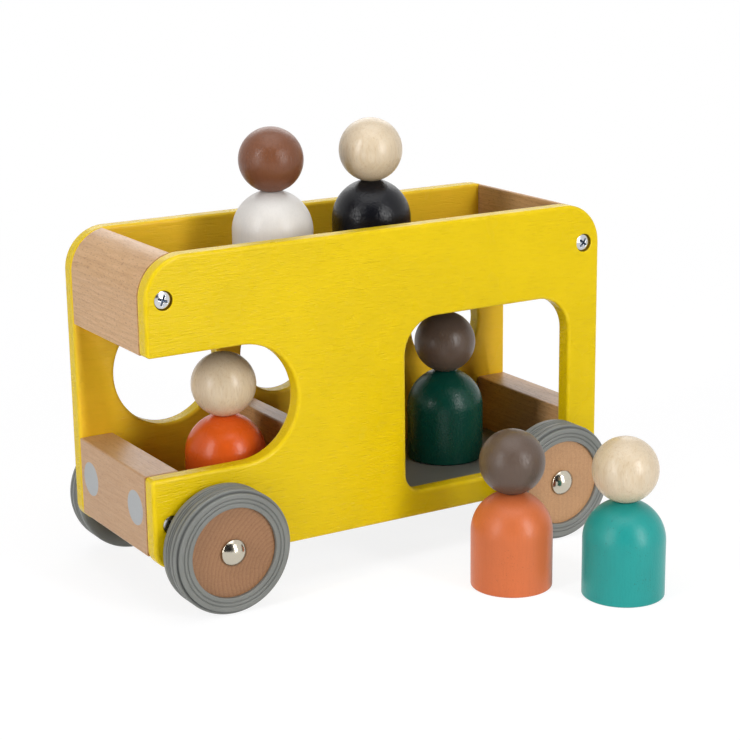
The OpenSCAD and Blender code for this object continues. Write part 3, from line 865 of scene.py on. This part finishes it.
# %% Panel sizes
EDGE_R = 1.5 * MM
UPPER_R, LOWER_R, NOTCH_R = 21 * MM, 9 * MM, 2.2 * MM
CAB_R, CAB_IN = 29.3 * MM, 49.5 * MM
WINDOW_LINE = 74 * MM
WINDOW_R, WINDOW_WEB, WINDOW_REAR_WEB, WINDOWS = 22.1 * MM, 8.7 * MM, 17.6 * MM, 3
DOOR_W, DOOR_SILL, DOOR_UPPER_R, DOOR_LOWER_R = 100.9 * MM, 13.2 * MM, 19 * MM, 10 * MM
DOOR_STRIP = 0.9 * MM
HEAD_R, SCREW_HOLE_R, SCREW_HOLE_D, SHANK_R = 4.2 * MM, 4.7 * MM, 3.4 * MM, 2.02 * MM
HOLE_EDGE = 0.35 * MM

panel_lo, panel_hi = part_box("left_panel")
PANEL_T = panel_hi.y - panel_lo.y
rear_x, front_x, low_z, high_z = panel_lo.x, panel_hi.x, panel_lo.z, panel_hi.z
block_d = front_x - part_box("front_bumper")[0].x
line_z = low_z + WINDOW_LINE
cab_x, cab_low, cab_high = front_x - CAB_IN, line_z - CAB_R, line_z + CAB_R
axle_spots = [tuple(np.mean([lo, hi], 0)[[0, 2]]) for lo, hi in map(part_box, ("front_axle", "rear_axle"))]
AXLE_R = (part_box("front_axle")[1].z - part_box("front_axle")[0].z) / 2
screws_lo, screws_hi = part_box("left_screws")
screw_xs = (screws_lo.x + HEAD_R, screws_hi.x - HEAD_R)
screw_zs = (screws_lo.z + HEAD_R, screws_hi.z - HEAD_R)
screw_spots = [(x, z) for x in screw_xs for z in screw_zs]
print(f"panels {PANEL_T / MM:.0f} mm thick, {len(screw_spots)} screws in each")

# %% [markdown]
# A counterbore is a second hole round the first, so that a screw's head can sink in. Its wall is a profile
# too, painted dark brown as the shade of the gap round the head (painted shade), which the attribute
# edge marks with -1.

# %% Drilled holes
def counterbore_profile():
    """Inset and depth from the shank's hole: over a small rounded edge, down the wall, in to the shank and
    through. The third column is 1 on the rounding, -1 in the hole and 0 on the faces."""
    step = SCREW_HOLE_R - SHANK_R
    a = np.linspace(0, np.pi / 2, LIP_STEPS)
    lip = np.stack([step + HOLE_EDGE * (1 - np.sin(a)), HOLE_EDGE * (1 - np.cos(a)), 0 * a + 1], 1)
    well = [[step, HOLE_EDGE + EASE, -1], [step, SCREW_HOLE_D, -1], [0, SCREW_HOLE_D, -1], [0, PANEL_T, 0]]
    return np.vstack([[step + HOLE_EDGE + EASE, 0, 0], lip, well])


def drilled_loops():
    """The axle holes and screw holes of a panel."""
    narrow = edge_profile(HOLE_EDGE, PANEL_T, NARROW_STEPS)
    axles = [(*round_hole(x, z, AXLE_R), narrow) for x, z in axle_spots]
    return axles + [(*round_hole(x, z, SHANK_R), counterbore_profile()) for x, z in screw_spots]


print("hole profiles ready")

# %% [markdown]
# The door side's outline is one run of eight corners, because its cab window is a notch, open to the front.
# The door is a second loop, and the drilled holes follow.

# %% Door side
soft_edge = edge_profile(EDGE_R, PANEL_T)
cab_side = [
    (rear_x, low_z, LOWER_R), (front_x, low_z, LOWER_R), (front_x, cab_low, NOTCH_R),
    (cab_x - CAB_R, cab_low, CAB_R), (cab_x - CAB_R, cab_high, CAB_R), (front_x, cab_high, NOTCH_R),
    (front_x, high_z, UPPER_R), (rear_x, high_z, UPPER_R),
]
door_x = rear_x + block_d + DOOR_STRIP
door = [
    (door_x, low_z + DOOR_SILL, DOOR_LOWER_R), (door_x, cab_high, DOOR_UPPER_R),
    (door_x + DOOR_W, cab_high, DOOR_UPPER_R), (door_x + DOOR_W, low_z + DOOR_SILL, DOOR_LOWER_R),
]
left_loops = [(*rounded_outline(cab_side), soft_edge), (*rounded_outline(door), soft_edge), *drilled_loops()]
left_mesh = board_mesh("door_side", left_loops, panel_hi.y, panel_lo.y)
stand_for("door_side", left_mesh, "left_panel", "yellow_paint")
print(f"door side of {len(left_mesh.polygons)} faces")

# %% [markdown]
# The far side has four plain corners. Its cab window is a full circle, and three smaller ones stand in a
# row behind it.

# %% Window side
far_side = [
    (rear_x, low_z, LOWER_R), (front_x, low_z, LOWER_R), (front_x, high_z, UPPER_R), (rear_x, high_z, UPPER_R)
]
last_window = rear_x + WINDOW_REAR_WEB + WINDOW_R
window_pitch = 2 * WINDOW_R + WINDOW_WEB
windows = [round_hole(last_window + k * window_pitch, line_z, WINDOW_R) for k in range(WINDOWS)]
far_openings = [(*hole, soft_edge) for hole in [round_hole(cab_x, line_z, CAB_R), *windows]]
right_loops = [(*rounded_outline(far_side), soft_edge), *far_openings, *drilled_loops()]
right_mesh = board_mesh("window_side", right_loops, -panel_hi.y, -panel_lo.y)
stand_for("window_side", right_mesh, "right_panel", "yellow_paint")
print(f"window side of {len(right_mesh.polygons)} faces")

# %% [markdown]
# ### Blocks, divider and decks
# The blocks tie the two panels together, and the decks and the low divider lie between them. They are the
# same kind of board, made across the bus: the outline lies in the XZ plane and the thickness is the clear
# width. Plain boxes would do for most of them, but the two top blocks follow the panels' round corners.

# %% Blocks, divider and upper deck
BLOCK_EDGE, DECK_EDGE, END_EDGE, ARC_SHORT = 0.9 * MM, 0.5 * MM, 0.3 * MM, 1.4 * MM


def cross_board(name, node, corners, finish):
    """Board across the bus, in a node's place, from corners (x, z, radius)."""
    lo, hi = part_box(node)
    profile = edge_profile(END_EDGE, hi.y - lo.y, NARROW_STEPS)
    mesh = board_mesh(name, [(*rounded_outline(corners), profile)], hi.y, lo.y)
    return stand_for(name, mesh, node, finish)


def box_corners(node, r):
    """The four corners of a node's box, of radius r."""
    lo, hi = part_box(node)
    return [(lo.x, lo.z, r), (hi.x, lo.z, r), (hi.x, hi.z, r), (lo.x, hi.z, r)]


def crowned_corners(node, r):
    """Corners of the front top block. Its round corner is wider than the block is deep, so the arc stops
    short of the inner face, at the angle where cos = (distance from the arc's centre) / radius, and runs on
    straight."""
    lo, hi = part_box(node)
    bend = np.arccos((UPPER_R - (hi.x - lo.x) + ARC_SHORT) / UPPER_R)
    crown_z = high_z - UPPER_R + UPPER_R * np.tan(bend / 2)
    inner_z = crown_z + (hi.x - lo.x) / np.tan(bend)
    return [(lo.x, lo.z, r), (hi.x, lo.z, r), (hi.x, crown_z, UPPER_R), (lo.x, inner_z, r)]


cross_board("front_fascia", "front_top_block", crowned_corners("front_top_block", BLOCK_EDGE), "beech")
rear_crown = [(-x, z, r) for x, z, r in reversed(crowned_corners("front_top_block", BLOCK_EDGE))]
cross_board("rear_fascia", "rear_top_block", rear_crown, "beech")
cross_board("bumper", "front_bumper", box_corners("front_bumper", BLOCK_EDGE), "beech_lamps")
cross_board("tail_block", "rear_block", box_corners("rear_block", BLOCK_EDGE), "beech")
cross_board("driver_backrest", "cab_divider", box_corners("cab_divider", BLOCK_EDGE), "beech")
cross_board("upper_floor", "upper_deck", box_corners("upper_deck", DECK_EDGE), "grey_paint")
print("blocks, divider and upper deck made")

# %% [markdown]
# The lower deck lies on the axles, and its underside is grooved for them. Each groove has a round top and
# is only four more corners of the outline, so the deck is still one board.

# %% Lower deck
GROOVE_PLAY = 0.3 * MM
GROOVE_HALF = AXLE_R + GROOVE_PLAY
deck_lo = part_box("lower_deck")[0]
groove_top = axle_spots[0][1] + GROOVE_HALF
underside = [
    (x + dx * GROOVE_HALF, z, r)
    for x, _ in sorted(axle_spots)
    for dx, z, r in ((-1, deck_lo.z, END_EDGE), (-1, groove_top, GROOVE_HALF),
                     (1, groove_top, GROOVE_HALF), (1, deck_lo.z, END_EDGE))
]
deck_corners = box_corners("lower_deck", DECK_EDGE)
cross_board("lower_floor", "lower_deck", [deck_corners[0], *underside, *deck_corners[1:]], "grey_paint")
print(f"grooves {2 * GROOVE_HALF / MM:.1f} mm wide")

# %% [markdown]
# ## Turned pieces
# Wheels, caps and figures come off a lathe, so each is a profile of radius and height, turned about an
# axis: the point (r, h) becomes (r cos t, r sin t, h). A Screw modifier turns a profile too, but here a
# shade can ride along with each point. Profiles are put together from arcs and short runs.

# %% Turning tools
def arc(centre, r, start_deg, end_deg, count):
    """Points centre + r (cos a, sin a) between two angles."""
    a = np.radians(np.linspace(start_deg, end_deg, count))
    return np.stack([centre[0] + r * np.cos(a), centre[1] + r * np.sin(a)], 1)


def turned_points(profile, spokes, at, side=0):
    """Profile (r, h) turned about a line through at: along Z, or along Y towards side where that is 1 or
    -1."""
    t = np.arange(spokes) * 2 * np.pi / spokes
    r, h = profile[:, :1], np.broadcast_to(profile[:, 1:2], (len(profile), spokes))
    ring = np.stack([r * np.cos(t), r * np.sin(t), h], -1)
    if side:
        ring = np.stack([ring[..., 0], side * ring[..., 2], ring[..., 1]], -1)
    return ring + np.asarray(at)


def turned_mesh(name, profile, spokes, at, side=0, closed=False):
    """Mesh of a turned profile. A closed profile makes a ring, and an open one starts and ends on the axis.
    A third column of the profile, if there is one, becomes the edge attribute."""
    points = turned_points(profile, spokes, at, side)
    edge = np.repeat(profile[:, 2], spokes) if profile.shape[1] > 2 else None
    return welded_mesh(name, points, grid_quads(len(profile), spokes, closed, True), edge)


def middle(node):
    """Middle of a node's box."""
    lo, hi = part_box(node)
    return np.array((lo + hi) / 2)


print("turning tools ready")

# %% [markdown]
# ### Tyres
# A soft grey tyre hooks over the wooden disc. A step parts its outer side from the tread, and both are
# grooved. A bump in the material would leave the outline smooth, so the grooves are real: a plain run minus
# a row of bell curves, exp(-(d / width)^2), one for each groove.

# %% Tyre section
def grooves(along_run, places, depth, width):
    """Sum of bell curves: how far the surface lies below the plain run."""
    gap = (along_run[:, None] - places) / width
    return (depth * np.exp(-gap ** 2)).sum(1)


WALL, LIP_H, DISC_RECESS, BACK_LIP = 5.3 * MM, 3.3 * MM, 2.0 * MM, 1.2 * MM
STEP_H, STEP_D, STEP_EDGE, STEP_FILLET = 1.7 * MM, 2.0 * MM, 0.55 * MM, 0.25 * MM
SIDE_SHARES, SIDE_DEPTH, SIDE_WIDTH = np.array([0.35, 0.62]), 0.45 * MM, 0.34 * MM
TREAD_SHARES, TREAD_DEPTH, TREAD_WIDTH = np.array([0.27, 0.4, 0.5, 0.71]), 0.9 * MM, 0.42 * MM
SHOULDER_R, LIP_EDGE, GROOVE_SHADE = 1.4 * MM, 0.4 * MM, 0.35
TREAD_STEPS, SIDE_STEPS, TYRE_SPOKES = 100, 60, 144
SHOULDER_STEPS, RIM_STEPS, FILLET_STEPS = 7, 6, 5


def tyre_profile(outer_r, width):
    """Closed section of a tyre from its inner side: back, tread, step, outer side, lip and the seat of the
    disc. The third column is painted shade, how much darker the rubber is drawn: 1 in the step's corner
    and deep in the tread, and less in the grooves of the side."""
    disc_r, side_r, step_y = outer_r - WALL, outer_r - STEP_H, width - STEP_D
    lip_r = disc_r - LIP_H
    tread = np.linspace(SHOULDER_R, step_y - STEP_EDGE, TREAD_STEPS)[1:-1]
    dip = grooves(tread, TREAD_SHARES * width, TREAD_DEPTH, TREAD_WIDTH)
    # painted shade: the rubber is drawn darker the deeper a tread groove is
    tread_run = np.stack([outer_r - dip, tread, dip / TREAD_DEPTH], 1)
    rise = np.linspace(side_r - lip_r - STEP_EDGE, LIP_EDGE, SIDE_STEPS)[1:-1]
    dip = grooves(rise, SIDE_SHARES * (side_r - lip_r), SIDE_DEPTH, SIDE_WIDTH)
    side_run = np.stack([lip_r + rise, width - dip, GROOVE_SHADE * dip / SIDE_DEPTH], 1)
    back = arc((outer_r - SHOULDER_R, SHOULDER_R), SHOULDER_R, -90, 0, SHOULDER_STEPS)
    over_step = arc((outer_r - STEP_EDGE, step_y - STEP_EDGE), STEP_EDGE, 0, 90, RIM_STEPS)
    under_step = arc((side_r + STEP_FILLET, step_y + STEP_FILLET), STEP_FILLET, 270, 180, FILLET_STEPS)
    rim = arc((side_r - STEP_EDGE, width - STEP_EDGE), STEP_EDGE, 0, 90, RIM_STEPS)
    lip = arc((lip_r + LIP_EDGE, width - LIP_EDGE), LIP_EDGE, 90, 180, FILLET_STEPS)
    seat = np.array([
        (lip_r, width - DISC_RECESS), (disc_r, width - DISC_RECESS), (disc_r, BACK_LIP), (lip_r, BACK_LIP),
        (lip_r, 0),
    ])
    one_more = ((0, 0), (0, 1))
    # painted shade: the step's corner is drawn fully dark
    corner = np.pad(under_step, one_more, constant_values=1)
    back, over_step, rim, lip, seat = (np.pad(run, one_more) for run in (back, over_step, rim, lip, seat))
    return np.vstack([back, tread_run, over_step, corner, rim, side_run, lip, seat])


print("tyre section ready")

# %% [markdown]
# Tyres, discs and caps all sit on an axle. A finished wheel could be copied four times, but the far wheels
# face the other way. So one function places every part: it takes radius and width from the solid's box and
# turns the profile outwards from its inner side.

# %% Tyres
WHEELS = {"front_left": 1, "front_right": -1, "rear_left": 1, "rear_right": -1}


def turned_on_axle(wheel, node, name, profile, spokes, finish, closed=False):
    """Part of a wheel in its node's place: a profile of the node's radius and width, turned about the axle
    from the node's inner side outwards."""
    lo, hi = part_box(f"{wheel}_{node}")
    inner = middle(f"{wheel}_{node}")
    inner[1] = lo.y if WHEELS[wheel] > 0 else hi.y
    section = profile((hi.x - lo.x) / 2, hi.y - lo.y)
    mesh = turned_mesh(f"{wheel}_{name}", section, spokes, inner, WHEELS[wheel], closed)
    return stand_for(f"{wheel}_{name}", mesh, f"{wheel}_{node}", finish)


for wheel in WHEELS:
    tyre = turned_on_axle(wheel, "tyre", "rubber", tyre_profile, TYRE_SPOKES, "tyre_rubber", closed=True)
print(f"{len(WHEELS)} tyres of {len(tyre.data.polygons)} faces")

# %% [markdown]
# ### Wheel discs and axle caps
# The disc is beech with an eased edge. The cap is pressed from thin plate: a shallow dome, a short rim and
# a rolled edge that lifts it off the wood. Scaled spheres would come close, but a profile gives the rim and
# the lip their own sizes.

# %% Wheel discs and axle caps
DISC_EASE, CAP_LIP, CAP_RIM, DISC_SPOKES = 0.6 * MM, 0.35 * MM, 0.9 * MM, 128
DOME_STEPS = 28


def disc_profile(r, thickness):
    """Section of a wheel disc: a flat back, the rim and a face with an eased edge."""
    face = arc((r - DISC_EASE, thickness - DISC_EASE), DISC_EASE, 0, 90, RIM_STEPS)
    flat_face = [(r - DISC_EASE - EASE, thickness), (r / 2, thickness), (0, thickness)]
    return np.vstack([[(0, 0), (r / 2, 0), (r - EASE, 0), (r, 0), (r, EASE)], face, flat_face])


def cap_profile(r, height):
    """Section of a cap: a rolled lip, the rim and a dome, which is part of a sphere."""
    dome = height - CAP_RIM
    sphere_r = (r * r + dome * dome) / (2 * dome)
    half_angle = np.degrees(np.arcsin(r / sphere_r))
    cover = arc((0, height - sphere_r), sphere_r, 90 - half_angle, 90, DOME_STEPS)
    lip = arc((r - CAP_LIP, CAP_LIP), CAP_LIP, -90, 0, RIM_STEPS)
    return np.vstack([[(0, 0), (r - CAP_LIP - EASE, 0)], lip, cover])


for wheel in WHEELS:
    disc_finish = "beech_disc" if wheel.startswith("front") else "beech_disc_pale"
    turned_on_axle(wheel, "wheel_disc", "disc", disc_profile, DISC_SPOKES, disc_finish)
    turned_on_axle(wheel, "axle_cap", "dome", cap_profile, DISC_SPOKES, "cap_chrome")
print(f"{2 * len(WHEELS)} discs and caps")

# %% [markdown]
# ### Screws
# A cross-head screw sits in each counterbore. A Boolean could cut its cross, but would leave hard walls.
# Its top is a height over polar coordinates instead: a low dome minus a cross, which is two crossed slots
# with soft walls that get shallower towards their ends.

# %% Screws
HEAD_H, HEAD_DOME, SCREW_SINK = 2.4 * MM, 0.7 * MM, 0.6 * MM
SLOT_HALF, SLOT_REACH, SLOT_DEPTH, SLOT_SOFT = 0.46 * MM, 2.5 * MM, 1.2 * MM, 0.15 * MM
SLOT_RISE_SHARE, HEAD_RINGS, HEAD_SPOKES = 0.45, 40, 112
SCREW_TURNS = {1: (15, 40, 62, 20), -1: (30, 75, 10, 50)}


def step_down(distance, limit):
    """1 inside the limit and 0 outside it, with a soft wall between."""
    return np.clip((limit + SLOT_SOFT - distance) / (2 * SLOT_SOFT), 0, 1)


def screw_points(turn_deg):
    """Screw head on a polar grid: height = -dome (r / R)^2 - depth of the cross, with the side and the
    underside after it. The fourth column is 1 in the cross, on the side and below, where the metal is
    painted dark as shade."""
    spokes = np.arange(HEAD_SPOKES) * 2 * np.pi / HEAD_SPOKES
    r, t = np.meshgrid(np.linspace(0, HEAD_R, HEAD_RINGS), spokes, indexing="ij")
    x, y = np.abs(r * np.cos(t)), np.abs(r * np.sin(t))
    one = step_down(x, SLOT_REACH) * step_down(y, SLOT_HALF)
    other = step_down(y, SLOT_REACH) * step_down(x, SLOT_HALF)
    cross = np.maximum(one, other)
    rise = SLOT_RISE_SHARE * np.clip(r / SLOT_REACH, 0, 1)
    h = -HEAD_DOME * (r / HEAD_R) ** 2 - SLOT_DEPTH * cross * (1 - rise)
    r = np.vstack([r, r[-1:], 0 * r[-1:]])
    h = np.vstack([h, 0 * h[-1:] - HEAD_H, 0 * h[-1:] - HEAD_H])
    t = np.vstack([t, t[-1:], t[-1:]]) + np.radians(turn_deg)
    # painted shade: the cross, the side and the underside are marked dark
    dark = np.vstack([cross, 0 * cross[-1:] + 1, 0 * cross[-1:] + 1])
    return np.stack([r * np.cos(t), h, r * np.sin(t), dark], -1)


for node, side in (("left_screws", 1), ("right_screws", -1)):
    heads = np.stack([screw_points(turn_deg) for turn_deg in SCREW_TURNS[side]])
    face_y = side * (panel_hi.y - SCREW_SINK)
    spots = np.array([(x, face_y, z) for x, z in screw_spots])
    placed = heads[..., :3] * [1, side, 1] + spots[:, None, None]
    one_head = grid_quads(*heads.shape[1:3], wrap_columns=True)
    quads = (one_head[None] + np.arange(len(heads))[:, None, None] * heads[0, ..., 0].size).reshape(-1, 4)
    mesh = welded_mesh(f"{node}_heads", placed, quads, heads[..., 3])
    stand_for(f"{node}_heads", mesh, node, "screw_steel")
print(f"{2 * len(screw_spots)} screws")

# %% [markdown]
# ### Peg figures
# Each figure is two turned pieces: a body with a straight wall and a round shoulder, and a ball on a small
# flat. The foot has a softly broken edge. Plain cylinders and spheres would lack both, so these are
# profiles on the same lathe.

# %% Peg figures
FOOT_EDGE, NECK_R, FIGURE_SPOKES = 0.8 * MM, 4.6 * MM, 112
WALL_STEPS, CROWN_STEPS, BALL_STEPS = 8, 36, 60


def body_profile(r, height):
    """Section of a body: foot, broken edge, wall, a dome of the wall's radius and a flat where the head
    sits."""
    dome_z = height - np.sqrt(r * r - NECK_R * NECK_R)
    foot = arc((r - FOOT_EDGE, FOOT_EDGE), FOOT_EDGE, -90, 0, RIM_STEPS)
    wall_z = np.linspace(FOOT_EDGE + EASE, dome_z - EASE, WALL_STEPS)
    wall = np.stack([np.full(WALL_STEPS, r), wall_z], 1)
    shoulder = arc((0, dome_z), r, 0, np.degrees(np.arccos(NECK_R / r)), CROWN_STEPS)
    neck = [(NECK_R - EASE, height), (0, height)]
    return np.vstack([[(0, 0), (r - FOOT_EDGE - EASE, 0)], foot, wall, shoulder, neck])


def head_profile(r):
    """Section of a ball that starts at a small flat, with the flat at height 0."""
    drop = np.sqrt(r * r - NECK_R * NECK_R)
    ball = arc((0, drop), r, -np.degrees(np.arccos(NECK_R / r)), 90, BALL_STEPS)
    return np.vstack([[(0, 0), (NECK_R - EASE, 0)], ball])


FIGURES = ["driver", "passenger", "deck_front", "deck_rear", "near_visitor", "far_visitor"]
slot_of = {row["node"]: row["material_slot"] for row in frame["record"]["subparts"]}
for figure in FIGURES:
    lo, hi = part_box(f"{figure}_body")
    foot = middle(f"{figure}_body") * [1, 1, 0] + [0, 0, lo.z]
    section = body_profile((hi.x - lo.x) / 2, hi.z - lo.z)
    body = turned_mesh(f"{figure}_torso", section, FIGURE_SPOKES, foot)
    stand_for(f"{figure}_torso", body, f"{figure}_body", slot_of[f"{figure}_body"])
    lo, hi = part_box(f"{figure}_head")
    neck = middle(f"{figure}_head") * [1, 1, 0] + [0, 0, lo.z]
    ball = turned_mesh(f"{figure}_ball", head_profile((hi.x - lo.x) / 2), FIGURE_SPOKES, neck)
    stand_for(f"{figure}_ball", ball, f"{figure}_head", slot_of[f"{figure}_head"])
print(f"{len(FIGURES)} figures")

# %% [markdown]
# ## Solids that stay
# The axles, the washers behind the wheels and the pegs inside the figures have their right shape already.
# Making them again would gain nothing, so they only take a finish.

# %% Finishes for the solids that stay
for node, solid in frame["nodes"].items():
    if not solid.hide_render:
        solid.material_slots[0].material = finishes[slot_of[node]]
print("kept:", [n for n, o in frame["nodes"].items() if not o.hide_render])
